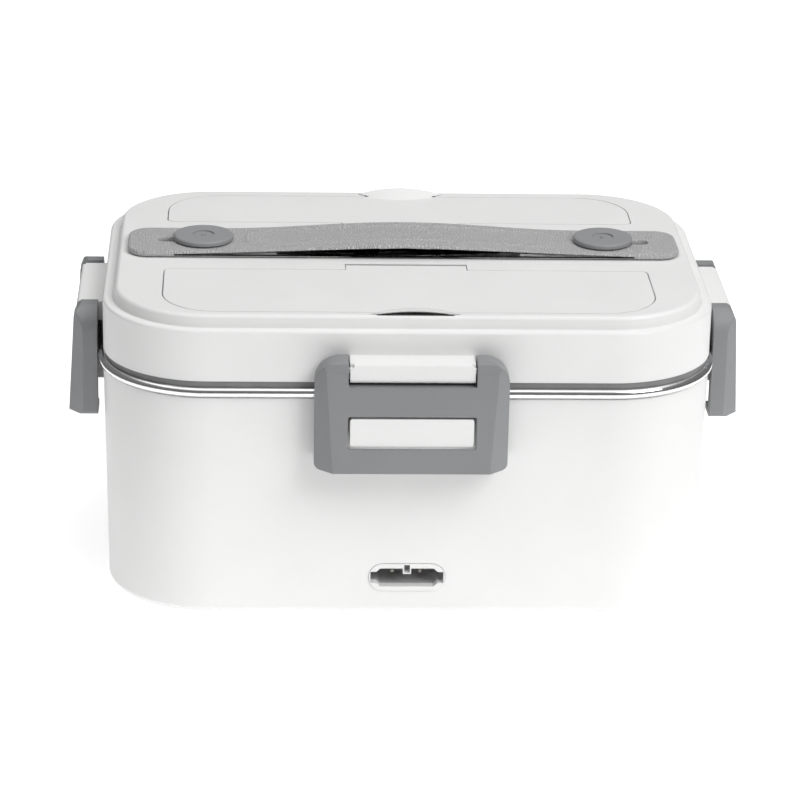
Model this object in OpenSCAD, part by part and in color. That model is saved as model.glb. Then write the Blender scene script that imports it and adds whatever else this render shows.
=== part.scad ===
// Electric lunch box: heated housing, lift-out steel pan, lift-off lid with four snap latches.
// Units are millimetres. +Z is up, -Y is the front, and the origin is the bottom centre.

/* [Overall] */
// Outer length of the lid, along X
lid_l = 224.8; // [200:0.2:250]
// Outer depth of the lid, along Y
lid_w = 157.8; // [140:0.2:180]
// Plan corner radius of the lid
lid_r = 38.9; // [36:0.1:41]
// Height of the housing wall above its bottom edge
body_h = 84.6; // [74:0.1:96]
// How far the rubber feet stand below the housing
foot_out = 1; // [0.8:0.1:2]

/* [Housing] */
// How far the top of the housing wall sits in from the lid wall
body_inset = 0; // [0:0.1:0.8]
// Draft of the housing wall over its height, on each side
body_draft = 1.5; // [0.6:0.1:2]
// Wall thickness of the housing
body_t = 2.4; // [2:0.1:2.6]
// Radius of the housing's bottom edge
base_fillet = 2; // [1:0.1:2.2]
// Wall thickness of the inner liner
liner_t = 1.8; // [1.4:0.1:2]
// Height of the electrics bay under the liner
bay_h = 20.5; // [19:0.5:26]

/* [Pan] */
// Height of the pan's rolled rim
rim_h = 3.8; // [3.4:0.1:4.4]
// How far the rolled rim stands out past the housing wall
rim_out = 1.7; // [1.2:0.1:2]
// Sheet thickness of the pan
pan_t = 0.8; // [0.7:0.1:1]
// Outer radius of the pan's bottom edge
pan_fillet = 8; // [6:0.5:10]

/* [Lid] */
// Height of the visible seal between the rim and the lid
seal_h = 2.2; // [1.8:0.1:2.8]
// Height of the lid's side wall
lid_wall_h = 19.2; // [18.6:0.1:23]
// Height of the step up to the lid's flat top
step_h = 4.5; // [4:0.1:5.5]
// Width of the step, ledge included
step_w = 4.4; // [4:0.1:5]
// Wall thickness of the lid
lid_t = 2.2; // [1.8:0.1:2.4]

/* [Covers] */
// Length of both top covers
cover_l = 180; // [165:1:184]
// Depth of the front cover
front_cover_w = 47.2; // [44:0.2:48]
// Depth of the rear cover
rear_cover_w = 33.4; // [31:0.2:34.4]
// Thickness of the covers
cover_t = 2; // [1.8:0.1:2.2]
// How far the thumb lips rise above the covers
lip_rise = 2.8; // [2.2:0.1:3.6]

/* [Strap] */
// Length of the carrying strap
strap_l = 209; // [196:1:212]
// Width of the carrying strap
strap_w = 29.4; // [26:0.2:30]
// Thickness of the carrying strap
strap_t = 2.6; // [2.4:0.1:2.9]
// Rise of the strap's middle at rest
strap_bow = 2.9; // [2:0.1:3.4]
// Distance of each button from the middle
button_x = 76; // [74:0.5:78]
// Radius of the strap buttons
button_r = 11.3; // [10:0.1:12]

/* [Latches] */
// Width of the latches
latch_w = 70; // [67:0.2:74]
// Height of the latches
latch_h = 41.7; // [40.5:0.1:43]
// Thickness of a latch at its top
latch_t = 8.9; // [8.5:0.1:9.3]
// Lean of a latch's outer face over its height
latch_lean = 2.2; // [1.4:0.1:2.8]
// Width of the hinge block between the ears
block_w = 45; // [42:0.2:47]
// Radius of the latch pins
pin_r = 1.25; // [1.1:0.05:1.4]

/* [Inlet] */
// Width of the power inlet
inlet_w = 28.2; // [27:0.2:31]
// Height of the power inlet
inlet_h = 10.9; // [10.5:0.1:12]

/* [Hidden] */
core_x = lid_l / 2 - lid_r;
core_y = lid_w / 2 - lid_r;
z_base = foot_out;
z_top = z_base + body_h;
z_rim = z_top + 0.3 + rim_h;
z_lid = z_rim + seal_h;
z_ledge = z_lid + lid_wall_h;
z_plate = z_ledge + step_h;
d_body = lid_r - body_inset;
d_in = d_body - body_t;
slope = body_draft / body_h;
z_floor = z_base + bay_h;
z_well = z_floor + 2;
hot_t = 2.5;
z_hot = z_well + hot_t;
d_liner = d_in - 0.4;
d_pan = d_liner - liner_t - 0.8;
cover_gap = 0.4;
strap_y = 4.5;
front_y = -22.8;
rear_y = 34.3;
tab_w = 45;
axle_in = 4.8;
axle_z = z_plate - 1.6;
axle_r = 0.8;
strap_z = z_plate + 0.3;
button_z = strap_z + strap_t + 0.2;
shank_r = 2.3;
hinge_out = 58;
hinge_in = 13;
lip_x = 1.3;
lip_a = 22.5;
lip_over = 2.8;
lip_t = 1.5;
lip_r = 59;
lip_r_in = 87;
scoop_d = 3.4;
scoop_w = 28;
mid_len = norm([hinge_out - hinge_in, strap_bow]);
bow_a = atan2(strap_bow, hinge_out - hinge_in);
knuckle_r = strap_t / 2;
run = 0.05;
pivot_y = -6.8;
pivot_z = z_lid + 7.1;
latch_in = -2.4;
latch_out = latch_in - latch_t;
latch_top = pivot_z + 4.4;
latch_bot = latch_top - latch_h;
face_w = latch_w - 13.4;
bevel_in = 3.5;
block_out = -10.4;
block_low = 4;
notch_low = 4.9;
lug_out = latch_out - 0.4 * latch_lean;
lug_w = block_w - 0.4;
lug_z0 = latch_bot + 10;
lug_h = 10.6;
win_w = lug_w + 1.6;
win_z0 = lug_z0 - 0.8;
win_h = lug_h + 1.6;
inlet_z = z_base + 13.7;
inlet_y = -core_y - d_body + slope * (z_top - inlet_z);
inlet_back = inlet_y + body_t + 0.5;
mouth_w = inlet_w - 3.2;
mouth_h = inlet_h - 3.7;
heater_l = 118;
heater_w = 22;
hot_x = core_x + 1.5;
hot_y = core_y + 2;
well_x = core_x - 7.5;
well_y = core_y - 8;
base_screw_x = core_x - 11.5;
base_screw_y = core_y + 10;
foot_x = core_x + 12.5;
foot_y = core_y + 6;
lid_screw_x = core_x + 24.5;
pad_t = 1.5;

// Sweeps a section round the rounded outline. Section x runs outward from the corner centres.
module around() {
  for (i = [0 : 3]) {
    translate([(i == 0 || i == 3) ? core_x : -core_x, (i < 2) ? core_y : -core_y, 0])
      rotate([0, 0, 90 * i]) {
        rotate_extrude(angle = 90, $fn = 64)
          children();
        rotate([90, 0, 0])
          linear_extrude(height = (i % 2 == 0) ? 2 * core_y : 2 * core_x)
            children();
      }
  }
}

// Middle slab that closes a floor or a top between the corner centres.
module core(z, t) {
  translate([-core_x, -core_y, z])
    cube([2 * core_x, 2 * core_y, t]);
}

module box_at(x0, x1, y0, y1, z0, z1) {
  translate([x0, y0, z0])
    cube([x1 - x0, y1 - y0, z1 - z0]);
}

// Flat rounded rectangle from corner to corner, with its own radius at each end in Y.
module rounded(x0, x1, y0, y1, ra, rb) {
  difference() {
    translate([x0, y0])
      square([x1 - x0, y1 - y0]);
    for (s = [-1, 1]) {
      corner_cut(s < 0 ? x0 : x1, y0, -s, 1, ra);
      corner_cut(s < 0 ? x0 : x1, y1, -s, -1, rb);
    }
  }
}

// What a radius takes off a square corner. sx and sy point inward.
module corner_cut(x, y, sx, sy, r) {
  difference() {
    translate([sx > 0 ? x - 1 : x - r, sy > 0 ? y - 1 : y - r])
      square([r + 1, r + 1]);
    translate([x + sx * r, y + sy * r])
      circle(r = r, $fn = 48);
  }
}

// Turns a piece made for the front wall to side i: 0 front, 1 right, 2 rear, 3 left.
module on_side(i) {
  rotate([0, 0, 90 * i])
    translate([0, (i % 2 == 0) ? -lid_w / 2 : -lid_l / 2, 0])
      children();
}

module rod_x(x0, x1, y, z, r, n = 24) {
  translate([x0, y, z])
    rotate([0, 90, 0])
      cylinder(h = x1 - x0, r = r, $fn = n);
}

module screw(x, y, z, up, r, len, head_r, head_h) {
  translate([x, y, z]) {
    translate([0, 0, up ? 0 : -head_h])
      cylinder(h = head_h, r = head_r, $fn = 20);
    translate([0, 0, up ? head_h - 0.01 : -head_h - len])
      cylinder(h = len + 0.01, r = r, $fn = 16);
  }
}

module catch_lug() {
  translate([0, 6 + body_inset + body_t, 0])
    rotate([90, 0, 0])
      linear_extrude(height = 6 + body_inset + body_t - lug_out)
        rounded(-lug_w / 2, lug_w / 2, lug_z0, lug_z0 + lug_h, 1, 1);
}

module housing_shell() {
  color([0.95, 0.95, 0.94])
    difference() {
      union() {
        around()
          difference() {
            union() {
              polygon([[d_in - body_draft - 4, z_base + 2.9], [d_in - body_draft - 4, z_base + 4.4],
                [d_in - slope * (body_h - 7.4), z_base + 7.4], [d_in, z_top], [d_body, z_top],
                [d_body - slope * (body_h - base_fillet), z_base + base_fillet],
                [d_body - slope * (body_h - base_fillet) - base_fillet, z_base],
                [d_in - body_draft, z_base], [d_in - body_draft, z_base + 2.9]]);
              translate([d_body - slope * (body_h - base_fillet) - base_fillet, z_base + base_fillet])
                intersection() {
                  circle(r = base_fillet, $fn = 32);
                  translate([0, -base_fillet])
                    square([base_fillet, base_fillet]);
                }
            }
            translate([d_in - 2, z_top - 1.8])
              square([3.4, 2.8]);
          }
        difference() {
          for (i = [0 : 3])
            on_side(i)
              catch_lug();
          box_at(-core_x - d_in, core_x + d_in, -core_y - d_in, core_y + d_in, z_base, z_top);
        }
      }
      translate([0, inlet_y + 10, 0])
        rotate([90, 0, 0])
          linear_extrude(height = 20)
            rounded(-inlet_w / 2 - 0.1, inlet_w / 2 + 0.1, inlet_z - inlet_h / 2 - 0.1,
              inlet_z + inlet_h / 2 + 0.1, inlet_h / 2, inlet_h / 2);
    }
}

module inner_liner() {
  color([0.9, 0.9, 0.88])
    difference() {
      union() {
        around()
          polygon([[0, z_floor], [d_liner - slope * (z_top - z_floor) - 6, z_floor],
            [d_liner - slope * (z_top - z_floor - 6), z_floor + 6], [d_liner, z_top - 1.8],
            [d_liner + 1.5, z_top - 1.8], [d_liner + 1.5, z_top], [d_liner - liner_t, z_top],
            [d_liner - liner_t - slope * (z_top - z_floor - 7), z_floor + 7],
            [d_liner - liner_t - slope * (z_top - z_floor) - 5.4, z_well], [0, z_well]]);
        core(z_floor, 2);
        for (x = [-base_screw_x, base_screw_x])
          for (y = [-base_screw_y, base_screw_y])
            translate([x, y, z_base + 2.9])
              cylinder(h = z_floor - z_base - 2.8, r = 4, $fn = 28);
      }
      for (x = [-base_screw_x, base_screw_x])
        for (y = [-base_screw_y, base_screw_y])
          translate([x, y, z_base])
            cylinder(h = 12, r = 1.5, $fn = 16);
      translate([0, 0, z_floor - 1])
        linear_extrude(height = 4)
          rounded(-well_x, well_x, -well_y, well_y, 8, 8);
    }
}

module base_cover() {
  color([0.86, 0.86, 0.85])
    difference() {
      union() {
        around()
          translate([0, z_base + 0.4])
            square([d_in - body_draft - 0.4, 2.5]);
        core(z_base + 0.4, 2.5);
        for (x = [-base_screw_x, base_screw_x])
          for (y = [-base_screw_y, base_screw_y])
            translate([x, y, z_base + 0.4])
              cylinder(h = 2.5, r = 6, $fn = 28);
      }
      for (x = [-base_screw_x, base_screw_x])
        for (y = [-base_screw_y, base_screw_y]) {
          translate([x, y, z_base - 1])
            cylinder(h = 6, r = 1.8, $fn = 16);
          translate([x, y, z_base - 1])
            cylinder(h = 2.8, r = 3.3, $fn = 24);
        }
      for (x = [-foot_x, foot_x])
        for (y = [-foot_y, foot_y])
          translate([x, y, z_base - 1])
            cylinder(h = 2.4, r = 7.2, $fn = 32);
      for (x = [-20 : 8 : 20])
        box_at(x - 1.2, x + 1.2, -24, 24, z_base - 1, z_base + 4);
    }
}

module base_screws() {
  color([0.6, 0.6, 0.62])
    for (x = [-base_screw_x, base_screw_x])
      for (y = [-base_screw_y, base_screw_y])
        screw(x, y, z_base + 0.3, true, 1.3, 8, 3, 1.5);
}

module rubber_feet() {
  color([0.45, 0.46, 0.47])
    for (x = [-foot_x, foot_x])
      for (y = [-foot_y, foot_y])
        translate([x, y, 0])
          cylinder(h = z_base + 1.4, r = 7, $fn = 32);
}

module heating_plate() {
  color([0.78, 0.79, 0.8])
    union() {
      translate([0, 0, z_well])
        linear_extrude(height = hot_t)
          rounded(-hot_x, hot_x, -hot_y, hot_y, 12, 12);
      translate([0, 0, z_floor])
        linear_extrude(height = 2.1)
          rounded(-well_x + 1, well_x - 1, -well_y + 1, well_y - 1, 7.5, 7.5);
    }
}

module heater_block() {
  color([0.72, 0.7, 0.66])
    union() {
      box_at(-heater_l / 2, heater_l / 2, -heater_w / 2, heater_w / 2, z_floor - 6.5, z_floor);
      for (x = [-1, 1])
        box_at(x * (heater_l / 2 - 9) - 3, x * (heater_l / 2 - 9) + 3,
          -heater_w / 2 - 5, -heater_w / 2 + 1, z_floor - 4, z_floor - 3.2);
    }
}

module heater_clamp() {
  color([0.66, 0.67, 0.69])
    difference() {
      union() {
        box_at(-34, -24, -heater_w / 2 - 1.5, heater_w / 2 + 1.5, z_floor - 7.7, z_floor - 6.5);
        box_at(24, 34, -heater_w / 2 - 1.5, heater_w / 2 + 1.5, z_floor - 7.7, z_floor - 6.5);
        for (s = [-1, 1]) {
          box_at(-34, 34, s * (heater_w / 2 + 0.9) - 0.6, s * (heater_w / 2 + 0.9) + 0.6,
            z_floor - 7.7, z_floor - 1.2);
          box_at(-34, 34, s * (heater_w / 2 + 5.8) - 5.5, s * (heater_w / 2 + 5.8) + 5.5,
            z_floor - 1.2, z_floor);
        }
      }
      for (x = [-26, 26])
        for (s = [-1, 1])
          translate([x, s * (heater_w / 2 + 7), z_floor - 3])
            cylinder(h = 4, r = 1.7, $fn = 16);
    }
}

module clamp_screws() {
  color([0.6, 0.6, 0.62])
    for (x = [-26, 26])
      for (s = [-1, 1])
        translate([x, s * (heater_w / 2 + 7), z_floor - 3.2])
          cylinder(h = 2, r = 3, $fn = 20);
}

module thermostat() {
  color([0.25, 0.25, 0.27])
    union() {
      translate([46, 22.5, z_floor - 6])
        cylinder(h = 6, r = 8, $fn = 36);
      for (x = [-1, 1])
        box_at(46 + x * 5 - 1.6, 46 + x * 5 + 1.6, 22.5 - 1, 22.5 + 1, z_floor - 11, z_floor - 5.9);
    }
}

module thermal_fuse() {
  color([0.88, 0.86, 0.8])
    rod_x(-52, -38, 20, z_floor - 2.4, 2.1);
}

// Mouth of the inlet: cut corners and a small ear at each end.
module inlet_mouth() {
  union() {
    polygon([[-mouth_w / 2, -mouth_h / 2 + 2.6], [-mouth_w / 2 + 2.6, -mouth_h / 2],
      [mouth_w / 2 - 2.6, -mouth_h / 2], [mouth_w / 2, -mouth_h / 2 + 2.6],
      [mouth_w / 2, mouth_h / 2 - 2.6], [mouth_w / 2 - 2.6, mouth_h / 2],
      [-mouth_w / 2 + 2.6, mouth_h / 2], [-mouth_w / 2, mouth_h / 2 - 2.6]]);
    translate([-inlet_w / 2 + 0.6, -2.2])
      square([inlet_w - 1.2, 4.4]);
  }
}

module inlet_bezel() {
  color([0.93, 0.93, 0.92])
    translate([0, inlet_back, inlet_z])
      rotate([90, 0, 0])
        linear_extrude(height = body_t + 0.8)
          union() {
            difference() {
              rounded(-inlet_w / 2, inlet_w / 2, -inlet_h / 2, inlet_h / 2,
                inlet_h / 2 - 0.1, inlet_h / 2 - 0.1);
              inlet_mouth();
              translate([-1.05, 0])
                square([2.1, inlet_h / 2 - 0.5]);
            }
            difference() {
              translate([-1.5, mouth_h / 2 - 2.2])
                square([3, 2.4]);
              translate([-1.05, mouth_h / 2 - 1.75])
                square([2.1, 2.4]);
            }
          }
}

module power_inlet() {
  color([0.34, 0.35, 0.36])
    difference() {
      union() {
        translate([0, inlet_y + 18, inlet_z])
          rotate([90, 0, 0])
            linear_extrude(height = inlet_y + 18 - inlet_back)
              rounded(-inlet_w / 2 - 1, inlet_w / 2 + 1, -inlet_h / 2 - 0.6, inlet_h / 2 + 0.6, 2, 2);
        translate([0, inlet_back + 2, inlet_z])
          rotate([90, 0, 0])
            linear_extrude(height = 2)
              rounded(-inlet_w / 2 - 3, inlet_w / 2 + 3, -inlet_h / 2 - 0.6, inlet_h / 2 + 2.6, 2, 2);
      }
      translate([0, inlet_y + 13.5, inlet_z])
        rotate([90, 0, 0])
          linear_extrude(height = 16)
            inlet_mouth();
      for (x = [-5.2, 5.2])
        translate([x, inlet_y + 22, inlet_z - 0.4])
          rotate([90, 0, 0])
            cylinder(h = 17, r = 1.25, $fn = 24);
    }
}

module inlet_pins() {
  color([0.8, 0.66, 0.4])
    for (x = [-5.2, 5.2])
      translate([x, inlet_y + 21.5, inlet_z - 0.4])
        rotate([90, 0, 0])
          union() {
            cylinder(h = 14, r = 1.2, $fn = 24);
            translate([0, 0, 14])
              sphere(r = 1.2, $fn = 24);
          }
}

module lead(points, r) {
  for (i = [0 : len(points) - 2]) {
    a = points[i];
    b = points[i + 1];
    v = b - a;
    h = norm(v);
    translate(a)
      rotate([0, acos(v[2] / h), atan2(v[1], v[0])])
        cylinder(h = h, r = r, $fn = 16);
    if (i < len(points) - 2)
      translate(b)
        sphere(r = r + 0.2, $fn = 16);
  }
}

module supply_leads() {
  color([0.75, 0.2, 0.18])
    union() {
      lead([[5.2, inlet_y + 21.5, inlet_z - 0.4], [5.2, inlet_y + 24, inlet_z - 0.4],
        [5.2, inlet_y + 31, z_base + 4.6],
        [51, 22.5, z_base + 4.6], [51, 22.5, z_floor - 11.3]], 1.1);
      lead([[-5.2, inlet_y + 21.5, inlet_z - 0.4], [-5.2, inlet_y + 24, inlet_z - 0.4],
        [-5.2, inlet_y + 31, z_base + 4.6],
        [-60, 20, z_base + 4.6], [-60, 20, z_floor - 2.4], [-52.3, 20, z_floor - 2.4]], 1.1);
    }
}

module heater_lead() {
  color([0.2, 0.22, 0.25])
    union() {
      lead([[41, 22.5, z_floor - 11.3], [41, 22.5, z_floor - 12.9], [50, -24, z_floor - 12.9],
        [50, -24, z_floor - 3.6], [50, -16.3, z_floor - 3.6]], 1.1);
      lead([[-37.7, 20, z_floor - 2.4], [-36, 20, z_floor - 2.4], [-36, 20, z_floor - 12.9],
        [-50, -24, z_floor - 12.9], [-50, -24, z_floor - 3.6], [-50, -16.3, z_floor - 3.6]], 1.1);
    }
}

module steel_pan() {
  color([0.82, 0.83, 0.84])
    union() {
      around()
        union() {
          difference() {
            polygon([[0, z_hot], [d_pan - 1.6 - pan_fillet, z_hot], [d_pan - 1.6, z_hot + pan_fillet],
              [d_pan, z_rim], [d_pan - pan_t, z_rim], [d_pan - pan_t - 1.6, z_hot + pan_fillet],
              [d_pan - 1.6 - pan_fillet, z_hot + pan_fillet], [0, z_hot + pan_fillet]]);
            translate([-1, z_hot + pan_t])
              square([d_pan - 1.6 - pan_fillet + 1, pan_fillet]);
            translate([d_pan - 1.6 - pan_fillet, z_hot + pan_fillet])
              circle(r = pan_fillet - pan_t, $fn = 40);
          }
          difference() {
            translate([d_pan - 1.6 - pan_fillet, z_hot + pan_fillet])
              intersection() {
                circle(r = pan_fillet, $fn = 40);
                translate([0, -pan_fillet])
                  square([pan_fillet, pan_fillet]);
              }
            translate([d_pan - 1.6 - pan_fillet, z_hot + pan_fillet])
              circle(r = pan_fillet - pan_t, $fn = 40);
          }
          translate([d_pan - pan_t, z_rim - pan_t])
            square([d_body + rim_out - rim_h / 2 - d_pan + pan_t, pan_t]);
          translate([d_body + rim_out - rim_h / 2, z_rim - rim_h / 2])
            difference() {
              circle(r = rim_h / 2, $fn = 36);
              circle(r = rim_h / 2 - pan_t, $fn = 36);
              translate([-rim_h, -rim_h * 0.2])
                square([rim_h, rim_h * 0.2 + rim_h / 2 - pan_t]);
            }
        }
      core(z_hot, pan_t);
    }
}

// Shallow hollow for a fingertip, past the cover's edge at y.
module finger_scoop(y, s) {
  box_at(lip_x - scoop_w / 2, lip_x + scoop_w / 2, min(y - s, y + s * scoop_d), max(y - s, y + s * scoop_d),
    z_plate - cover_t - 0.2, z_plate + 1);
}

// Recess, hinge slot and finger scoop of one cover, cut out of the lid.
module cover_cut(y0, y1, hinge_y, s) {
  translate([0, 0, z_plate - cover_t - 0.2])
    linear_extrude(height = cover_t + 1)
      rounded(-cover_l / 2 - cover_gap, cover_l / 2 + cover_gap, y0 - cover_gap, y1 + cover_gap,
        s < 0 ? 20 : 3, s < 0 ? 3 : 20);
  translate([0, 0, z_plate - cover_t - 0.2])
    linear_extrude(height = cover_t + 1)
      translate([-tab_w / 2 - cover_gap, min(hinge_y, hinge_y - s * axle_in)])
        square([tab_w + 2 * cover_gap, axle_in]);
  rod_x(-tab_w / 2 - cover_gap, tab_w / 2 + cover_gap, hinge_y - s * axle_in, axle_z, 2.5, 32);
  finger_scoop(s < 0 ? y0 : y1, s);
  rod_x(-tab_w / 2 - 5.5, tab_w / 2 + 5.5, hinge_y - s * axle_in, axle_z, axle_r + run, 20);
}

module bay_hole(y0, y1) {
  translate([0, 0, z_lid + 5.7])
    linear_extrude(height = 30)
      rounded(-cover_l / 2 + 5, cover_l / 2 - 5, y0, y1, 9, 9);
}

module hinge_block() {
  difference() {
    translate([-block_w / 2, 0, 0])
      rotate([90, 0, 90])
        linear_extrude(height = block_w)
          difference() {
            translate([block_out, pivot_z - block_low])
              square([1 - block_out, block_low + 3.4]);
            corner_cut(block_out, pivot_z - block_low, 1, 1, 2);
            corner_cut(block_out, pivot_z + 3.4, 1, -1, 1);
          }
    for (s = [-1, 1])
      box_at(s * (block_w / 2 + 0.1) - 1.5, s * (block_w / 2 + 0.1) + 1.5, block_out - 1, block_out + 1.3,
        pivot_z + 2.2, pivot_z + 5);
    rod_x(-block_w / 2 - 1, block_w / 2 + 1, pivot_y, pivot_z, pin_r + run, 24);
  }
}

module lid_shell() {
  color([0.95, 0.95, 0.94])
    difference() {
      union() {
        around()
          union() {
            polygon([[lid_r - lid_t, z_lid], [lid_r, z_lid], [lid_r, z_ledge - 1],
              [lid_r - 1, z_ledge - 1], [lid_r - 1, z_ledge], [lid_r - step_w + 0.8, z_ledge],
              [lid_r - step_w, z_plate - 1.6], [lid_r - step_w - 1.6, z_plate - 1.6],
              [lid_r - step_w - 1.6, z_plate], [0, z_plate], [0, z_plate - lid_t],
              [lid_r - step_w - lid_t - 1, z_plate - lid_t],
              [lid_r - step_w - lid_t, z_ledge - lid_t], [lid_r - lid_t, z_ledge - lid_t]]);
            translate([lid_r - 1, z_ledge - 1])
              circle(r = 1, $fn = 24);
            translate([lid_r - step_w - 1.6, z_plate - 1.6])
              circle(r = 1.6, $fn = 32);
          }
        core(z_plate - lid_t, lid_t);
        translate([0, 0, z_plate - cover_t - 2])
          linear_extrude(height = cover_t + 1)
            rounded(-cover_l / 2 - 2.2, cover_l / 2 + 2.2, front_y - front_cover_w - 2.2,
              front_y + axle_in + 4, 20, 3);
        translate([0, 0, z_plate - cover_t - 2])
          linear_extrude(height = cover_t + 1)
            rounded(-cover_l / 2 - 2.2, cover_l / 2 + 2.2, rear_y - axle_in - 4,
              rear_y + rear_cover_w + 2.2, 3, 20);
        translate([0, 0, z_lid + 4.1])
          linear_extrude(height = z_plate - z_lid - 6)
            rounded(-cover_l / 2 + 3.4, cover_l / 2 - 3.4, front_y - front_cover_w + 3.4, front_y - 2.6,
              10.6, 10.6);
        translate([0, 0, z_lid + 4.1])
          linear_extrude(height = z_plate - z_lid - 6)
            rounded(-cover_l / 2 + 3.4, cover_l / 2 - 3.4, rear_y + 2.6, rear_y + rear_cover_w - 3.4,
              10.6, 10.6);
        box_at(-tab_w / 2 - 6.5, tab_w / 2 + 6.5, front_y + axle_in - 4, front_y + axle_in + 4,
          axle_z - 4, z_plate - 1);
        box_at(-tab_w / 2 - 6.5, tab_w / 2 + 6.5, rear_y - axle_in - 4, rear_y - axle_in + 4,
          axle_z - 4, z_plate - 1);
        for (x = [-button_x, button_x])
          translate([x, strap_y, z_plate - 8])
            cylinder(h = 7, r = 5, $fn = 32);
        for (x = [-lid_screw_x, lid_screw_x])
          for (y = [-16, 20])
            translate([x, y, z_lid + 2.3])
              cylinder(h = z_plate - z_lid - 3, r = 3.5, $fn = 28);
        for (i = [0 : 3])
          on_side(i)
            hinge_block();
      }
      cover_cut(front_y - front_cover_w, front_y, front_y, -1);
      cover_cut(rear_y, rear_y + rear_cover_w, rear_y, 1);
      bay_hole(front_y - front_cover_w + 5, front_y - 4.2);
      bay_hole(rear_y + 4.2, rear_y + rear_cover_w - 5);
      for (x = [-button_x, button_x])
        translate([x, strap_y, z_plate - 9])
          cylinder(h = 12, r = shank_r + run, $fn = 28);
      for (x = [-lid_screw_x, lid_screw_x])
        for (y = [-16, 20])
          translate([x, y, z_lid])
            cylinder(h = 12, r = 1.3, $fn = 16);
    }
}

module lid_liner() {
  color([0.9, 0.9, 0.88])
    difference() {
      union() {
        around()
          polygon([[0, z_lid + 0.3], [lid_r - 5.2, z_lid + 0.3], [lid_r - 5.2, z_lid + 2.8],
            [lid_r - lid_t - 0.2, z_lid + 2.8], [lid_r - lid_t - 0.2, z_lid + 4.3],
            [lid_r - 7, z_lid + 4.3], [lid_r - 7, z_lid + 2.3], [0, z_lid + 2.3]]);
        core(z_lid + 0.3, 2);
      }
      for (x = [-lid_screw_x, lid_screw_x])
        for (y = [-16, 20]) {
          translate([x, y, z_lid - 1])
            cylinder(h = 5, r = 1.5, $fn = 16);
          translate([x, y, z_lid - 1])
            cylinder(h = 2.2, r = 2.8, $fn = 24);
        }
    }
}

module lid_screws() {
  color([0.6, 0.6, 0.62])
    for (x = [-lid_screw_x, lid_screw_x])
      for (y = [-16, 20])
        screw(x, y, z_lid + 0.1, true, 1.2, 9, 2.6, 1.1);
}

module lid_seal() {
  color([0.45, 0.46, 0.46])
    around()
      polygon([[lid_r - 6.8, z_rim], [lid_r - 0.6, z_rim], [lid_r - 0.6, z_lid],
        [lid_r - 2.9, z_lid], [lid_r - 2.9, z_lid + 2.5], [lid_r - 4.9, z_lid + 2.5],
        [lid_r - 4.9, z_lid], [lid_r - 6.8, z_lid]]);
}

// Round bar that shapes a thumb lip. It rises outward and sinks into the cover inward.
module lip_bar(y_out, s, r, rise) {
  translate([lip_x, y_out, z_plate + rise])
    rotate([s * lip_a, 0, 0])
      translate([0, 0, -r])
        rotate([90, 0, 0])
          cylinder(h = 44, r = r, center = true, $fn = 128);
}

// Raised thumb lip past the cover's edge at y_edge, open underneath.
module thumb_lip(y_edge, s) {
  intersection() {
    difference() {
      lip_bar(y_edge + s * lip_over, s, lip_r, lip_rise);
      lip_bar(y_edge + s * lip_over, s, lip_r_in, lip_rise - lip_t);
    }
    union() {
      box_at(lip_x - 20, lip_x + 20, min(y_edge, y_edge - s * 9), max(y_edge, y_edge - s * 9),
        z_plate - 0.9, z_plate + 8);
      box_at(lip_x - 20, lip_x + 20, min(y_edge - s, y_edge + s * lip_over),
        max(y_edge - s, y_edge + s * lip_over), z_plate + 0.2, z_plate + 8);
    }
  }
}

// Cover with its outer edge at y_edge and its hinge edge at y_hinge.
module cover_plate(y_edge, y_hinge, s) {
  difference() {
    translate([0, 0, z_plate - cover_t])
      linear_extrude(height = cover_t)
        rounded(-cover_l / 2, cover_l / 2, min(y_edge, y_hinge), max(y_edge, y_hinge),
          s < 0 ? 19.6 : 2.6, s < 0 ? 2.6 : 19.6);
    intersection() {
      lip_bar(y_edge + s * lip_over, s, lip_r_in, lip_rise - lip_t);
      box_at(lip_x - 20, lip_x + 20, min(y_edge - s * 6, y_edge + s), max(y_edge - s * 6, y_edge + s),
        z_plate - 4, z_plate + 4);
    }
  }
  thumb_lip(y_edge, s);
}

module cover_hinge(hinge_y, s) {
  difference() {
    union() {
      box_at(-tab_w / 2, tab_w / 2, min(hinge_y + s, hinge_y - s * axle_in),
        max(hinge_y + s, hinge_y - s * axle_in), z_plate - cover_t, z_plate);
      rod_x(-tab_w / 2, tab_w / 2, hinge_y - s * axle_in, axle_z, 1.6, 32);
    }
    rod_x(-tab_w / 2 - 1, tab_w / 2 + 1, hinge_y - s * axle_in, axle_z, axle_r + run, 20);
  }
}

module front_cover() {
  color([0.95, 0.95, 0.94])
    union() {
      cover_plate(front_y - front_cover_w, front_y, -1);
      cover_hinge(front_y, -1);
    }
}

module front_cover_pin() {
  color([0.7, 0.71, 0.73])
    rod_x(-tab_w / 2 - 5, tab_w / 2 + 5, front_y + axle_in, axle_z, axle_r, 20);
}

module rear_cover() {
  color([0.95, 0.95, 0.94])
    union() {
      cover_plate(rear_y + rear_cover_w, rear_y, 1);
      cover_hinge(rear_y, 1);
    }
}

module rear_cover_pin() {
  color([0.7, 0.71, 0.73])
    rod_x(-tab_w / 2 - 5, tab_w / 2 + 5, rear_y - axle_in, axle_z, axle_r, 20);
}

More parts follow.
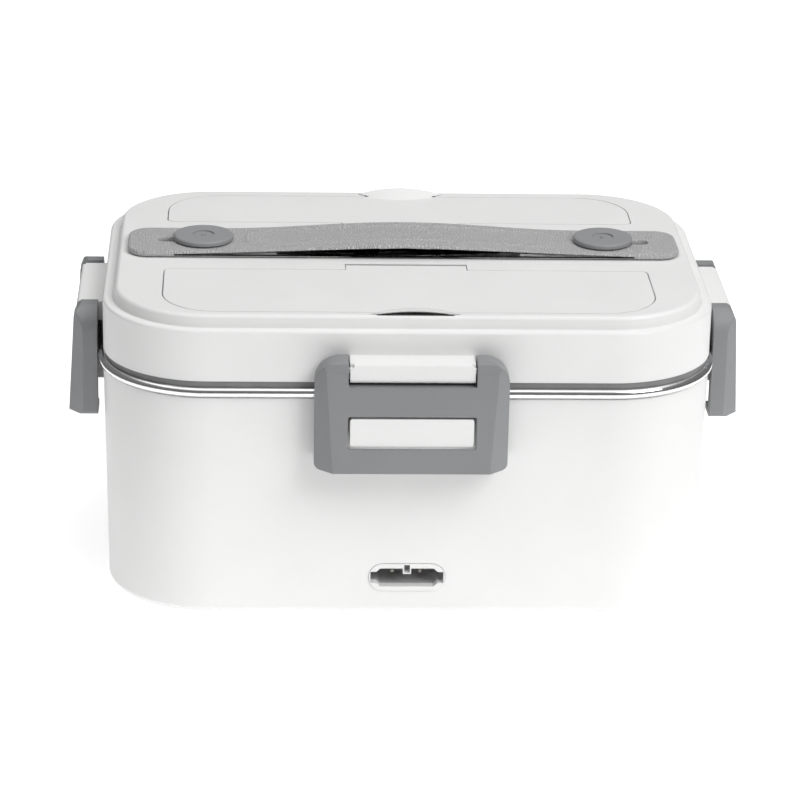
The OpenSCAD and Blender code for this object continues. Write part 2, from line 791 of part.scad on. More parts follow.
// Strap pieces are drawn on the left with +X inward. Right-hand ones are mirrored.
module strap_end() {
  difference() {
    union() {
      translate([0, 0, strap_z])
        linear_extrude(height = strap_t)
          rounded(-strap_l / 2, -hinge_out - 0.01, strap_y - strap_w / 2, strap_y + strap_w / 2, 8, 8);
      box_at(-80, -hinge_out, strap_y - strap_w / 2, strap_y + strap_w / 2, strap_z, strap_z + strap_t);
      translate([-hinge_out, strap_y + strap_w / 2, strap_z + knuckle_r])
        rotate([90, 0, 0])
          cylinder(h = strap_w, r = knuckle_r, $fn = 24);
    }
    translate([0, 0, strap_z - 1])
      linear_extrude(height = strap_t + 2)
        rounded(-93.5, -72.4, strap_y - 2.6, strap_y + 2.6, 2.59, 2.59);
  }
}

module strap_mid() {
  translate([-hinge_out, strap_y, strap_z + knuckle_r])
    rotate([0, -bow_a, 0])
      difference() {
        union() {
          box_at(0, mid_len, -strap_w / 2, strap_w / 2, -knuckle_r, knuckle_r);
          translate([0, strap_w / 2, 0])
            rotate([90, 0, 0])
              linear_extrude(height = strap_w)
                polygon([[6, 0], [6, -knuckle_r], [26, -knuckle_r - pad_t],
                  [mid_len - 3, -knuckle_r - pad_t], [mid_len - 3, 0]]);
          translate([mid_len, strap_w / 2, 0])
            rotate([90, 0, 0])
              cylinder(h = strap_w, r = knuckle_r, $fn = 24);
        }
        translate([0, strap_w / 2 + 1, 0])
          rotate([90, 0, 0])
            cylinder(h = strap_w + 2, r = knuckle_r + 0.3, $fn = 24);
      }
}

module strap_end_left() {
  color([0.62, 0.63, 0.64])
    strap_end();
}

module strap_mid_left() {
  color([0.62, 0.63, 0.64])
    strap_mid();
}

module strap_centre() {
  color([0.62, 0.63, 0.64])
    difference() {
      union() {
        box_at(-hinge_in, hinge_in, strap_y - strap_w / 2, strap_y + strap_w / 2,
          strap_z + strap_bow, strap_z + strap_bow + strap_t);
        box_at(3 - hinge_in, hinge_in - 3, strap_y - strap_w / 2, strap_y + strap_w / 2,
          strap_z + strap_bow - pad_t, strap_z + strap_bow + 1);
      }
      for (s = [-1, 1])
        translate([s * hinge_in, strap_y + strap_w / 2 + 1, strap_z + strap_bow + knuckle_r])
          rotate([90, 0, 0])
            cylinder(h = strap_w + 2, r = knuckle_r + 0.3, $fn = 24);
    }
}

module strap_mid_right() {
  color([0.62, 0.63, 0.64])
    mirror([1, 0, 0])
      strap_mid();
}

module strap_end_right() {
  color([0.62, 0.63, 0.64])
    mirror([1, 0, 0])
      strap_end();
}

module strap_button(x) {
  translate([x, strap_y, 0])
    difference() {
      union() {
        rotate_extrude($fn = 56)
          union() {
            translate([0, button_z])
              square([button_r - 0.8, 1.8]);
            translate([button_r - 0.9, button_z])
              square([0.9, 0.9]);
            translate([button_r - 0.9, button_z + 0.9])
              circle(r = 0.9, $fn = 24);
          }
        translate([0, 0, z_plate - 8])
          cylinder(h = button_z - z_plate + 8.1, r = shank_r, $fn = 28);
      }
      translate([0, 0, button_z + 1.3])
        difference() {
          cylinder(h = 1, r = 4, $fn = 48);
          translate([0, 0, -0.1])
            cylinder(h = 0.4, r = 0.9, $fn = 24);
        }
      translate([0, 0, z_plate - 9])
        cylinder(h = 7, r = 1.1, $fn = 16);
    }
}

module strap_button_left() {
  color([0.58, 0.59, 0.6])
    strap_button(-button_x);
}

module strap_button_right() {
  color([0.58, 0.59, 0.6])
    strap_button(button_x);
}

module button_screws() {
  color([0.6, 0.6, 0.62])
    for (x = [-button_x, button_x])
      screw(x, strap_y, z_plate - 9.5, true, 1, 5.5, 4, 1.5);
}

// One latch, drawn against the front wall: y = 0 is the lid wall and -Y is outward.
module latch() {
  difference() {
    intersection() {
      rotate([90, 0, 0])
        linear_extrude(height = 20)
          difference() {
            translate([-latch_w / 2, latch_bot])
              square([latch_w, latch_h]);
            for (s = [-1, 1]) {
              corner_cut(s * latch_w / 2, latch_top, -s, -1, 9);
              corner_cut(s * latch_w / 2, latch_bot, -s, 1, 2);
            }
          }
      translate([0, 0, latch_bot - 1])
        linear_extrude(height = latch_h + 2)
          polygon([[-latch_w / 2, latch_in], [-latch_w / 2, latch_out + bevel_in],
            [-face_w / 2, latch_out - latch_lean - 0.1], [face_w / 2, latch_out - latch_lean - 0.1],
            [latch_w / 2, latch_out + bevel_in], [latch_w / 2, latch_in]]);
      translate([-40, 0, 0])
        rotate([90, 0, 90])
          linear_extrude(height = 80)
            polygon([[latch_in, latch_bot], [latch_out - latch_lean, latch_bot],
              [latch_out, latch_top - 4], [latch_out + 1.3, latch_top - 1.1],
              [latch_out + 2.8, latch_top], [latch_in, latch_top]]);
    }
    rotate([90, 0, 0])
      linear_extrude(height = 20)
        rounded(-block_w / 2 - 0.5, block_w / 2 + 0.5, pivot_z - notch_low, latch_top + 3, 0.7, 0.7);
    rotate([90, 0, 0])
      linear_extrude(height = 20)
        rounded(-win_w / 2, win_w / 2, win_z0, win_z0 + win_h, 0.7, 0.7);
    difference() {
      translate([-30.4, 0, 0])
        rotate([90, 0, 90])
          linear_extrude(height = 60.8)
            polygon([[0, latch_bot + 2.4], [latch_out - latch_lean + 2.5, latch_bot + 2.4],
              [latch_out + 2.9, pivot_z - 8], [0, pivot_z - 8]]);
      for (s = [-1, 1])
        box_at(s * 26.4 - 0.8, s * 26.4 + 0.8, latch_out, latch_out + 5.4, latch_bot, pivot_z);
    }
    translate([-win_w / 2, 0, 0])
      rotate([90, 0, 90])
        linear_extrude(height = win_w)
          polygon([[0, win_z0 + 1], [lug_out + 0.15, win_z0 + 1], [lug_out + 0.15, win_z0],
            [lug_out + 2.4, latch_bot - 1], [0, latch_bot - 1]]);
    rod_x(-30.6, 30.6, pivot_y, pivot_z, pin_r + run, 24);
  }
}

module latch_pin() {
  rod_x(-30, 30, pivot_y, pivot_z, pin_r, 24);
}

module latch_front() {
  color([0.55, 0.55, 0.56])
    on_side(0)
      latch();
}

module latch_right() {
  color([0.55, 0.55, 0.56])
    on_side(1)
      latch();
}

module latch_rear() {
  color([0.55, 0.55, 0.56])
    on_side(2)
      latch();
}

module latch_left() {
  color([0.55, 0.55, 0.56])
    mirror([1, 0, 0])
      on_side(1)
        latch();
}

module latch_pin_front() {
  color([0.7, 0.71, 0.73])
    on_side(0)
      latch_pin();
}

module latch_pin_right() {
  color([0.7, 0.71, 0.73])
    on_side(1)
      latch_pin();
}

module latch_pin_rear() {
  color([0.7, 0.71, 0.73])
    on_side(2)
      latch_pin();
}

module latch_pin_left() {
  color([0.7, 0.71, 0.73])
    on_side(3)
      latch_pin();
}

housing_shell();
inner_liner();
base_cover();
base_screws();
rubber_feet();
heating_plate();
heater_block();
heater_clamp();
clamp_screws();
thermostat();
thermal_fuse();
inlet_bezel();
power_inlet();
inlet_pins();
supply_leads();
heater_lead();
steel_pan();
lid_shell();
lid_liner();
lid_screws();
lid_seal();
front_cover();
front_cover_pin();
rear_cover();
rear_cover_pin();
strap_end_left();
strap_mid_left();
strap_centre();
strap_mid_right();
strap_end_right();
strap_button_left();
strap_button_right();
button_screws();
latch_front();
latch_right();
latch_rear();
latch_left();
latch_pin_front();
latch_pin_right();
latch_pin_rear();
latch_pin_left();
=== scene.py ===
"""Looks of the electric lunch box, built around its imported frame. All units are metres."""
import math

import bmesh
import bpy
from mathutils import Matrix, Vector, geometry


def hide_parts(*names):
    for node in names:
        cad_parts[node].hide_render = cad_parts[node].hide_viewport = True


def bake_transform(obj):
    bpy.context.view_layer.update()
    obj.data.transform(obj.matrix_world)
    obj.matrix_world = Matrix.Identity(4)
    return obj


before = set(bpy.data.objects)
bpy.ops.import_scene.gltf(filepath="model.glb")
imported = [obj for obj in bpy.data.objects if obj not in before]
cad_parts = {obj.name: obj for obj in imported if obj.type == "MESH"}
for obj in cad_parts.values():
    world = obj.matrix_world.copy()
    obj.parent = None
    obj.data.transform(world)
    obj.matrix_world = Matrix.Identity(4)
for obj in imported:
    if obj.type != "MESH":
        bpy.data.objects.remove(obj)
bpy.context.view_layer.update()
scene = bpy.context.scene
MM = 0.001

# ---------------------------------------------------------------- sizes shared with the CAD
STRAP_Y = 4.5 * MM
STRAP_L = 209 * MM
STRAP_W = 29.4 * MM
STRAP_T = 2.6 * MM
STRAP_BOW = 2.9 * MM
STRAP_Z = 115.9 * MM
HINGE_OUT = 58 * MM
HINGE_IN = 13 * MM
SLOT_IN = 72.4 * MM
SLOT_OUT = 93.5 * MM
SLOT_R = 2.59 * MM

# ---------------------------------------------------------------- sizes of the strap's skin alone
CORNER = 8  # radius of the strap's corners in plan, in mm
SEAMS = (-35.5, 0.0, 35.5)  # x of the seams between the four lengths, in mm
STRAP_END = 120 * MM  # beyond both ends of the strap
PANEL = (59.5 * MM, 8.5 * MM, 6 * MM)  # half sizes and corner radius of the raised border
PANEL_Y = 5.6 * MM
RIDGE = 0.32 * MM  # height of that border, and its width
RIDGE_W = 0.5 * MM
EDGE_R = 1.1 * MM  # roundings of the upper edge, the lower edge and the slots
UNDER_R = 0.5 * MM
SLOT_EDGE_R = 0.35 * MM
BOW_REACH = 70 * MM  # the bow runs from -70 to 70 mm
PAD = 1.6 * MM  # extra depth under the grip, its end, and the length it fades over
PAD_END = 67 * MM
PAD_FADE = 7 * MM
CLEARANCE = 0.1 * MM  # between the skin and the lid
WRAP = 9 * MM  # length at each end where the side's grain follows the corner


# ---------------------------------------------------------------- camera, light and floor
def set_camera():
    """The photograph's view: a long lens, a little left of the middle and above the lid."""
    elevation, yaw, roll = (math.radians(a) for a in (20.793, 2.756, -1.246))
    distance, focal_px, centre_px = 1.31195, 3402.0, (0.743, -7.415)
    picture_px, sensor_mm = 800, 36
    right = Vector((math.cos(yaw), -math.sin(yaw), 0))
    ahead = Vector((math.sin(yaw) * math.cos(elevation), math.cos(yaw) * math.cos(elevation),
                    -math.sin(elevation)))
    up = right.cross(ahead)
    turned_right = right * math.cos(roll) - up * math.sin(roll)
    turned_up = right * math.sin(roll) + up * math.cos(roll)
    data = bpy.data.cameras.new("camera")
    camera = bpy.data.objects.new("camera", data)
    scene.collection.objects.link(camera)
    place = Vector((0, 0, 0.058)) - ahead * distance
    camera.matrix_world = Matrix([
        [turned_right[i], turned_up[i], -ahead[i], place[i]] for i in range(3)
    ] + [[0, 0, 0, 1]])
    data.sensor_width = sensor_mm
    data.lens = focal_px / picture_px * sensor_mm
    data.shift_x = -centre_px[0] / picture_px
    data.shift_y = centre_px[1] / picture_px
    data.clip_start, data.clip_end = 0.05, 30
    scene.camera = camera


def area_light(name, place, aim, size, power):
    data = bpy.data.lights.new(name, "AREA")
    data.shape = "RECTANGLE"
    data.size, data.size_y = size
    data.energy = power
    light = bpy.data.objects.new(name, data)
    scene.collection.objects.link(light)
    light.location = place
    light.rotation_mode = "QUATERNION"
    light.rotation_quaternion = (Vector(aim) - Vector(place)).to_track_quat("-Z", "Y")


def set_lights():
    """A soft box high on the right, a bright ceiling and ground, and dim walls all round."""
    scene.view_settings.view_transform = "Standard"
    scene.view_settings.look = "None"
    world = bpy.data.worlds.new("studio")
    scene.world = world
    world.use_nodes = True
    tree = world.node_tree
    background = tree.nodes["Background"]
    coords = tree.nodes.new("ShaderNodeTexCoord")
    split = tree.nodes.new("ShaderNodeSeparateXYZ")
    height = tree.nodes.new("ShaderNodeMapRange")
    height.inputs["From Min"].default_value = -1
    ramp = tree.nodes.new("ShaderNodeValToRGB")
    tree.links.new(coords.outputs["Generated"], split.inputs[0])
    tree.links.new(split.outputs["Z"], height.inputs["Value"])
    tree.links.new(height.outputs["Result"], ramp.inputs["Fac"])
    tree.links.new(ramp.outputs["Color"], background.inputs["Color"])
    # place from straight down, 0, to straight up, 1, with its tone
    stops = ((0.0, 0.72), (0.383, 0.72), (0.40, 0.09), (0.80, 0.14), (0.865, 0.23), (0.93, 1.0))
    ramp.color_ramp.elements[0].position = stops[0][0]
    ramp.color_ramp.elements[1].position = stops[-1][0]
    for place, _ in stops[1:-1]:
        ramp.color_ramp.elements.new(place)
    for element, (_, tone) in zip(ramp.color_ramp.elements, stops):
        element.color = (tone, tone, tone, 1)
    background.inputs["Strength"].default_value = 1.5
    area_light("key", (1.24, -1.3, 1.6), (0, 0, 0.05), (1.2, 1.2), 28)


def set_floor():
    mesh = bpy.data.meshes.new("floor")
    work = bmesh.new()
    bmesh.ops.create_grid(work, x_segments=8, y_segments=8, size=0.45)
    work.to_mesh(mesh)
    work.free()
    floor = bpy.data.objects.new("floor", mesh)
    scene.collection.objects.link(floor)
    mat = bpy.data.materials.new("floor_paper")
    mat.use_nodes = True
    shader = mat.node_tree.nodes["Principled BSDF"]
    shader.inputs["Base Color"].default_value = (0.95, 0.95, 0.95, 1)
    shader.inputs["Roughness"].default_value = 0.9
    shader.inputs["Specular IOR Level"].default_value = 0.1
    shader.inputs["Emission Color"].default_value = (1, 1, 1, 1)
    shader.inputs["Emission Strength"].default_value = 0.42
    mesh.materials.append(mat)


# ---------------------------------------------------------------- materials
class Paint:
    """Builds one procedural material around a Principled shader."""

    def __init__(self, name, rough=0.5, metal=0.0, specular=0.5, uv=False):
        self.mat = bpy.data.materials.new(name)
        self.mat.use_nodes = True
        self.tree = self.mat.node_tree
        self.shader = self.tree.nodes["Principled BSDF"]
        self.shader.inputs["Roughness"].default_value = rough
        self.shader.inputs["Metallic"].default_value = metal
        self.shader.inputs["Specular IOR Level"].default_value = specular
        coords = self.tree.nodes.new("ShaderNodeTexCoord")
        self.where = coords.outputs["UV" if uv else "Object"]
        self.normal = None

    def put(self, kind, values=None, **links):
        node = self.tree.nodes.new(kind)
        for key, value in (values or {}).items():
            node.inputs[key].default_value = value
        for key, socket in links.items():
            self.tree.links.new(socket, node.inputs[key.replace("_", " ")])
        return node

    def join(self, socket, name):
        self.tree.links.new(socket, self.shader.inputs[name])

    def stretched(self, scale):
        node = self.put("ShaderNodeMapping", Vector=self.where)
        node.inputs["Scale"].default_value = scale
        return node.outputs["Vector"]

    def noise(self, scale, detail=2.0, rough=0.5, where=None):
        node = self.put("ShaderNodeTexNoise",
                        {"Scale": scale, "Detail": detail, "Roughness": rough},
                        Vector=where or self.where)
        return node.outputs["Fac"]

    def ranged(self, socket, low, high, to_low, to_high):
        node = self.put("ShaderNodeMapRange", {"From Min": low, "From Max": high,
                                               "To Min": to_low, "To Max": to_high},
                        Value=socket)
        return node.outputs["Result"]

    def mixed(self, factor, first, second):
        """Colour that goes from first to second. Each is a colour or a socket."""
        node = self.tree.nodes.new("ShaderNodeMix")
        node.data_type = "RGBA"
        self.tree.links.new(factor, node.inputs[0])
        for slot, value in ((6, first), (7, second)):  # the node's two colour inputs
            if isinstance(value, bpy.types.NodeSocket):
                self.tree.links.new(value, node.inputs[slot])
            else:
                node.inputs[slot].default_value = (*value, 1)
        return node.outputs[2]

    def math(self, how, first, second):
        node = self.tree.nodes.new("ShaderNodeMath")
        node.operation = how
        for slot, value in enumerate((first, second)):
            if isinstance(value, bpy.types.NodeSocket):
                self.tree.links.new(value, node.inputs[slot])
            else:
                node.inputs[slot].default_value = value
        return node.outputs[0]

    def soft_edges(self, radius):
        node = self.tree.nodes.new("ShaderNodeBevel")
        node.samples = 6
        node.inputs["Radius"].default_value = radius
        self.normal = node.outputs["Normal"]

    def edge_mask(self, low, high):
        """1 where the softened normal leaves the flat one, 0 elsewhere."""
        flat = self.tree.nodes.new("ShaderNodeNewGeometry").outputs["Normal"]
        dot = self.tree.nodes.new("ShaderNodeVectorMath")
        dot.operation = "DOT_PRODUCT"
        self.tree.links.new(self.normal, dot.inputs[0])
        self.tree.links.new(flat, dot.inputs[1])
        return self.ranged(dot.outputs["Value"], 1 - low, 1 - high, 0.0, 1.0)

    def bump(self, height, distance, strength=1.0):
        node = self.put("ShaderNodeBump", {"Distance": distance, "Strength": strength},
                        Height=height)
        if self.normal is not None:
            self.tree.links.new(self.normal, node.inputs["Normal"])
        self.normal = node.outputs["Normal"]

    def done(self):
        if self.normal is not None:
            self.join(self.normal, "Normal")
        return self.mat


def moulded(name, colour, rough, grain=(2600, 0.012), edge=0.5, edge_highlight_and_wear=0.0, spread=0.03):
    """Moulded plastic: a fine spark grain, slight blotches, softened edges, and lighter edges
    that are partly rubbing and partly a painted highlight.
    """
    p = Paint(name, rough, specular=0.45)
    p.soft_edges(edge * MM)
    light = tuple(min(1.0, c * (1 + spread)) for c in colour)
    dark = tuple(c * (1 - spread) for c in colour)
    tone = p.mixed(p.ranged(p.noise(38, 4, 0.55), 0.3, 0.7, 0.0, 1.0), dark, light)
    if edge_highlight_and_wear:
        # lighter patches on the edges: partly rubbed wear, partly a painted edge highlight
        highlight_and_rub = p.math("MULTIPLY", p.edge_mask(0.03, 0.25),
                        p.ranged(p.noise(420, 5, 0.65), 0.48, 0.62, 0.0, edge_highlight_and_wear))
        tone = p.mixed(highlight_and_rub, tone, tuple(min(1.0, c * 1.5 + 0.05) for c in colour))
    p.join(tone, "Base Color")
    smudge = p.noise(64, 3, 0.6)
    p.join(p.ranged(smudge, 0.3, 0.7, rough - 0.05, rough + 0.06), "Roughness")
    p.bump(p.noise(grain[0], 3, 0.6), grain[1] * MM)
    return p.done()


def steel(name, colour, rough, along=(1, 1, 14), scratch=0.01):
    """Drawn stainless steel with fine draw lines and light handling marks."""
    p = Paint(name, rough, metal=1.0)
    p.soft_edges(0.25 * MM)
    p.join(p.mixed(p.noise(50, 3, 0.6), tuple(c * 0.93 for c in colour), colour), "Base Color")
    lines = p.noise(260, 5, 0.7, where=p.stretched(along))
    p.join(p.ranged(lines, 0.3, 0.7, rough - 0.06, rough + 0.1), "Roughness")
    p.bump(lines, scratch * MM)
    return p.done()


def cast(name, colour, rough):
    """Cast or milled aluminium with a fine, slightly pitted skin."""
    p = Paint(name, rough, metal=1.0)
    p.soft_edges(0.35 * MM)
    skin = p.noise(700, 6, 0.7)
    p.join(p.mixed(p.noise(90, 3, 0.6), tuple(c * 0.85 for c in colour), colour), "Base Color")
    p.join(p.ranged(skin, 0.3, 0.7, rough - 0.08, rough + 0.12), "Roughness")
    p.bump(skin, 0.03 * MM)
    return p.done()


def rubber(name, colour, rough=0.72, bloom=0.12):
    """Silicone or rubber: soft sheen, a dusty bloom and a faint skin."""
    p = Paint(name, rough, specular=0.35)
    p.soft_edges(0.3 * MM)
    dusty = tuple(c + (0.6 - c) * bloom for c in colour)
    p.join(p.mixed(p.ranged(p.noise(130, 4, 0.6), 0.45, 0.75, 0.0, 1.0), colour, dusty),
           "Base Color")
    p.join(p.ranged(p.noise(300, 3, 0.6), 0.3, 0.7, rough - 0.06, rough + 0.08), "Roughness")
    p.bump(p.noise(1800, 2, 0.5), 0.02 * MM)
    return p.done()


def leather(name, colour, cell, depth):
    """Soft strap skin with a pebble grain, painted darker in the grain's crevices as shade and a
    touch lighter on its tops as a highlight. cell and depth are in mm.
    """
    p = Paint(name, 0.62, specular=0.38, uv=True)
    warp = p.put("ShaderNodeTexNoise", {"Scale": 260.0, "Detail": 2.0}, Vector=p.where)
    bent = p.put("ShaderNodeVectorMath")
    bent.operation = "MULTIPLY_ADD"
    p.tree.links.new(warp.outputs["Color"], bent.inputs[0])
    bent.inputs[1].default_value = (0.0012, 0.0012, 0.0012)
    p.tree.links.new(p.where, bent.inputs[2])
    cells = p.put("ShaderNodeTexVoronoi", {"Scale": 1 / (cell * MM)}, Vector=bent.outputs[0])
    cells.feature = "DISTANCE_TO_EDGE"
    pebble = p.ranged(cells.outputs["Distance"], 0.0, 0.28, 0.0, 1.0)
    fine = p.noise(2400, 3, 0.6)
    height = p.math("ADD", pebble, p.math("MULTIPLY", fine, 0.35))
    # painted shade in the grain's crevices, and a slight painted highlight on its tops
    crease_shade = tuple(c * 0.8 for c in colour)
    ridge = tuple(min(1.0, c * 1.05) for c in colour)
    p.join(p.mixed(p.ranged(height, 0.1, 1.1, 0.0, 1.0), crease_shade, ridge), "Base Color")
    p.join(p.ranged(p.noise(90, 3, 0.6), 0.3, 0.7, 0.55, 0.7), "Roughness")
    p.bump(height, depth * MM)
    return p.done()


def set_materials():
    white = moulded("white_plastic", (0.83, 0.83, 0.825), 0.42, edge=0.45, spread=0.012)
    white_cover = moulded("white_cover", (0.82, 0.82, 0.815), 0.46, edge=0.3, spread=0.012)
    inner_white = moulded("inner_plastic", (0.74, 0.74, 0.73), 0.5, edge=0.4)
    # the latch and the button get lighter edges, partly wear and partly a painted highlight
    grey = moulded("grey_latch", (0.245, 0.249, 0.256), 0.44, (2100, 0.02), 0.7, edge_highlight_and_wear=0.35)
    disc = moulded("grey_button", (0.29, 0.293, 0.3), 0.5, (2100, 0.015), 0.35, edge_highlight_and_wear=0.2)
    socket = moulded("socket_plastic", (0.5, 0.5, 0.505), 0.45, edge=0.3)
    screws = steel("zinc_screw", (0.62, 0.62, 0.6), 0.32, (6, 6, 1), 0.02)
    pins = steel("steel_pin", (0.7, 0.7, 0.71), 0.25, (18, 1, 1))
    brass = steel("plated_brass", (0.42, 0.4, 0.36), 0.4, (1, 12, 1))
    coat = {
        "housing_shell": white, "lid_shell": white, "front_cover": white_cover,
        "rear_cover": white_cover, "base_cover": white, "inner_liner": inner_white,
        "lid_liner": inner_white, "power_inlet": socket, "inlet_bezel": white_cover,
        "steel_pan": steel("drawn_steel", (0.79, 0.79, 0.8), 0.12),
        "heating_plate": cast("cast_aluminium", (0.74, 0.74, 0.75), 0.38),
        "heater_block": cast("milled_aluminium", (0.68, 0.68, 0.69), 0.42),
        "heater_clamp": steel("bent_steel", (0.66, 0.66, 0.66), 0.34, (14, 1, 1), 0.02),
        "thermostat": moulded("thermostat_body", (0.05, 0.05, 0.05), 0.45, edge=0.3),
        "thermal_fuse": moulded("fuse_sleeve", (0.72, 0.7, 0.64), 0.6, edge=0.2),
        "supply_leads": rubber("lead_sleeve", (0.5, 0.5, 0.49), 0.55),
        "heater_lead": rubber("heater_sleeve", (0.72, 0.71, 0.68), 0.6),
        "lid_seal": rubber("seal_silicone", (0.25, 0.251, 0.253)),
        "rubber_feet": rubber("foot_rubber", (0.3, 0.3, 0.3)),
        "inlet_pins": brass, "front_cover_pin": pins, "rear_cover_pin": pins,
        "strap_button_left": disc, "strap_button_right": disc,
    }
    for name in ("base_screws", "clamp_screws", "lid_screws", "button_screws"):
        coat[name] = screws
    for side in ("front", "right", "rear", "left"):
        coat["latch_" + side] = grey
        coat["latch_pin_" + side] = pins
    for name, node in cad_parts.items():
        node.data.materials.clear()
        node.data.materials.append(coat.get(name, grey))


# ---------------------------------------------------------------- carrying strap
def box_distance(x, y, half_x, half_y, radius):
    """Signed distance to a rounded rectangle round the origin, below 0 inside it."""
    qx, qy = abs(x) - half_x + radius, abs(y) - half_y + radius
    return math.hypot(max(qx, 0), max(qy, 0)) + min(max(qx, qy), 0) - radius


def ring(centre, half_x, half_y, radius, step=0.0012):
    """Points of a rounded rectangle, about a step apart."""
    radius = max(min(radius, half_x, half_y), 1e-5)
    points = []
    corners = ((1, 1, 0), (-1, 1, 90), (-1, -1, 180), (1, -1, 270))
    turns = max(3, int(radius * math.pi / 2 / step) + 1)
    for sx, sy, start in corners:
        for i in range(turns + 1):
            a = math.radians(start + 90 * i / turns)
            points.append(Vector((centre[0] + sx * (half_x - radius) + radius * math.cos(a),
                                  centre[1] + sy * (half_y - radius) + radius * math.sin(a))))
    dense = []
    for p, q in zip(points, points[1:] + points[:1]):
        gap = (q - p).length
        if gap < 1e-7:
            continue
        parts = max(1, int(gap / (step * 2)))
        dense += [p.lerp(q, i / parts) for i in range(parts)]
    return dense


def smooth(t):
    t = min(1.0, max(0.0, t))
    return t * t * (3 - 2 * t)


def inside_edge(x, y):
    """How far a point is inside the strap's outline."""
    return -box_distance(x, y - STRAP_Y, STRAP_L / 2, STRAP_W / 2, CORNER * MM)


def outside_slot(x, y):
    """How far a point is from the nearer button slot, below 0 inside it."""
    return box_distance(abs(x) - (SLOT_IN + SLOT_OUT) / 2, y - STRAP_Y,
                        (SLOT_OUT - SLOT_IN) / 2, SLOT_R, SLOT_R - 1e-5)


def fillet(near, radius):
    """How far a rounded edge drops at a distance from it."""
    return radius - math.sqrt(max(0.0, radius ** 2 - (radius - max(near, 0)) ** 2))


def strap_rise(x):
    """How far the bow lifts the strap at x."""
    return STRAP_BOW * 0.5 * (1 + math.cos(math.pi * min(abs(x), BOW_REACH) / BOW_REACH))


def strap_heights(x, y):
    """Top and bottom of the strap at a point: its bow, rounded edges, ridge and pad."""
    edge = inside_edge(x, y)
    slot = outside_slot(x, y)
    top = STRAP_Z + STRAP_T - RIDGE + strap_rise(x)
    pad = smooth((PAD_END - abs(x)) / PAD_FADE)
    bottom = max(STRAP_Z + CLEARANCE, top - STRAP_T - PAD * pad)
    rounded = 0.0
    for near, radius in ((edge, EDGE_R), (slot, SLOT_EDGE_R)):
        if near < radius:
            rounded = max(rounded, fillet(near, radius))
    line = box_distance(x, y - PANEL_Y, *PANEL) / RIDGE_W
    top += RIDGE * math.exp(-line * line) - rounded
    if edge < UNDER_R:
        bottom += fillet(edge, UNDER_R)
    return top, bottom


def strap_plan():
    """The strap's flat plan as points and triangles, with its seams as edges."""
    points, edges = [], []

    def loop(ring_points):
        first = len(points)
        points.extend(ring_points)
        count = len(ring_points)
        edges.extend((first + i, first + (i + 1) % count) for i in range(count))

    middle = (0, STRAP_Y)
    for d in (0, 0.08, 0.25, 0.5, 0.8, 1.15):
        loop(ring(middle, STRAP_L / 2 - d * MM, STRAP_W / 2 - d * MM, (CORNER - d) * MM))
    for side in (-1, 1):
        spot = (side * (SLOT_IN + SLOT_OUT) / 2, STRAP_Y)
        for d in (0, 0.1, 0.22, 0.4):
            loop(ring(spot, (SLOT_OUT - SLOT_IN) / 2 + d * MM, SLOT_R + d * MM,
                      SLOT_R + d * MM - 1e-5, 0.0006))
    for d in (-0.9, -0.6, -0.3, 0, 0.3, 0.6, 0.9):
        loop(ring((0, PANEL_Y), PANEL[0] + d * MM, PANEL[1] + d * MM, PANEL[2] + d * MM, 0.0009))
    for x in SEAMS:
        first = len(points)
        points.append(Vector((x * MM, STRAP_Y - STRAP_W / 2)))
        points.append(Vector((x * MM, STRAP_Y + STRAP_W / 2)))
        edges.append((first, first + 1))
    columns, rows = 94, 12
    for i in range(1, columns):
        for j in range(1, rows):
            x = -STRAP_L / 2 + STRAP_L * i / columns
            y = STRAP_Y - STRAP_W / 2 + STRAP_W * j / rows
            line = abs(box_distance(x, y - PANEL_Y, *PANEL))
            seam = min(abs(x - s * MM) for s in SEAMS)
            # the grid keeps clear of the loops and seams, which have points of their own
            if (inside_edge(x, y) > 1.7 * MM and outside_slot(x, y) > 0.9 * MM
                    and line > 1.4 * MM and seam > 0.6 * MM):
                points.append(Vector((x, y)))
    flat, _, faces, *_ = geometry.delaunay_2d_cdt(points, edges, [], 0, 1e-6)
    kept = []
    for face in faces:
        x = sum(flat[v].x for v in face) / 3
        y = sum(flat[v].y for v in face) / 3
        if outside_slot(x, y) > 0 and inside_edge(x, y) > -2e-6:
            a, b, c = (flat[v] for v in face)
            turn = (b.x - a.x) * (c.y - a.y) - (b.y - a.y) * (c.x - a.x)
            kept.append(face if turn > 0 else face[::-1])
    return flat, kept


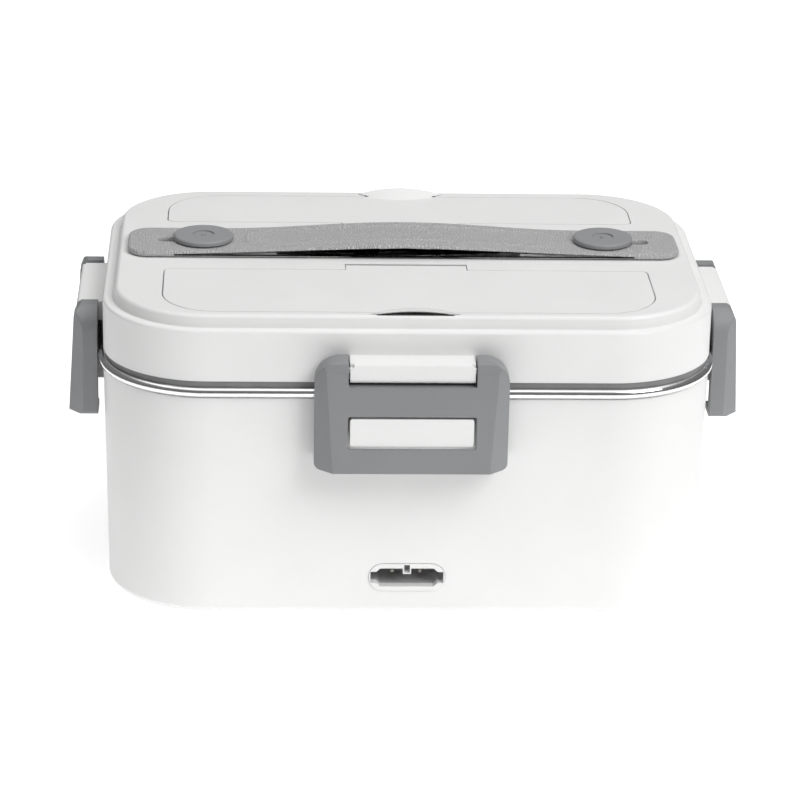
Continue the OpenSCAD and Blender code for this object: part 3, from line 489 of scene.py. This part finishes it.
def strap_piece(name, flat, faces, x0, x1, mats):
    """One closed length of the strap between two seams."""
    mine = [f for f in faces if x0 <= sum(flat[v].x for v in f) / 3 <= x1]
    work = bmesh.new()
    uv = work.loops.layers.uv.new("UVMap")
    tops, bottoms = {}, {}
    for v in sorted({v for f in mine for v in f}):
        x, y = flat[v]
        high, low = strap_heights(x, y)
        tops[v] = work.verts.new((x, y, high))
        bottoms[v] = work.verts.new((x, y, low))
    rim = {}  # the outline's edges, in the order in which they were met
    for f in mine:
        top = work.faces.new([tops[v] for v in f])
        under = work.faces.new([bottoms[v] for v in reversed(f)])
        for face in (top, under):
            face.smooth = True
            for corner in face.loops:
                corner[uv].uv = (corner.vert.co.x, corner.vert.co.y)
        for a, b in zip(f, f[1:] + f[:1]):
            if (b, a) in rim:
                del rim[(b, a)]
            else:
                rim[(a, b)] = True
    for a, b in rim:
        wall = work.faces.new((tops[b], tops[a], bottoms[a], bottoms[b]))
        at_seam = all(min(abs(flat[v].x - x0), abs(flat[v].x - x1)) < 1e-6 for v in (a, b))
        wall.smooth = not at_seam
        wall.material_index = 0 if at_seam else 1
        for corner in wall.loops:
            spot = corner.vert.co
            along = spot.x if abs(spot.x) < STRAP_L / 2 - WRAP else spot.x + spot.y
            corner[uv].uv = (along, spot.z)
        if at_seam:
            for side in wall.edges:
                side.smooth = False
    mesh = bpy.data.meshes.new(name)
    work.to_mesh(mesh)
    work.free()
    for mat in mats:
        mesh.materials.append(mat)
    piece = bpy.data.objects.new(name, mesh)
    scene.collection.objects.link(piece)
    return piece


def set_strap():
    mats = [leather("strap_skin", (0.52, 0.52, 0.523), 1.05, 0.3),
            leather("strap_side", (0.5, 0.5, 0.503), 0.9, 0.12)]
    flat, faces = strap_plan()
    # name, its two bodies, the hinge between them and the nodes that it stands for
    plan = (
        ("strap_skin_1", "strap_end_left", "strap_mid_left", -HINGE_OUT, ("strap_end_left",)),
        ("strap_skin_2", "strap_mid_left", "strap_centre", -HINGE_IN, ("strap_mid_left",)),
        ("strap_skin_3", "strap_centre", "strap_mid_right", HINGE_IN,
         ("strap_centre", "strap_mid_right")),
        ("strap_skin_4", "strap_mid_right", "strap_end_right", HINGE_OUT, ("strap_end_right",)),
    )
    cuts = [-STRAP_END, *(x * MM for x in SEAMS), STRAP_END]
    for (name, first, second, hinge, stood_for), x0, x1 in zip(plan, cuts, cuts[1:]):
        piece = strap_piece(name, flat, faces, x0, x1, mats)
        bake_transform(piece)
        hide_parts(*stood_for)


set_camera()
set_lights()
set_floor()
set_materials()
set_strap()
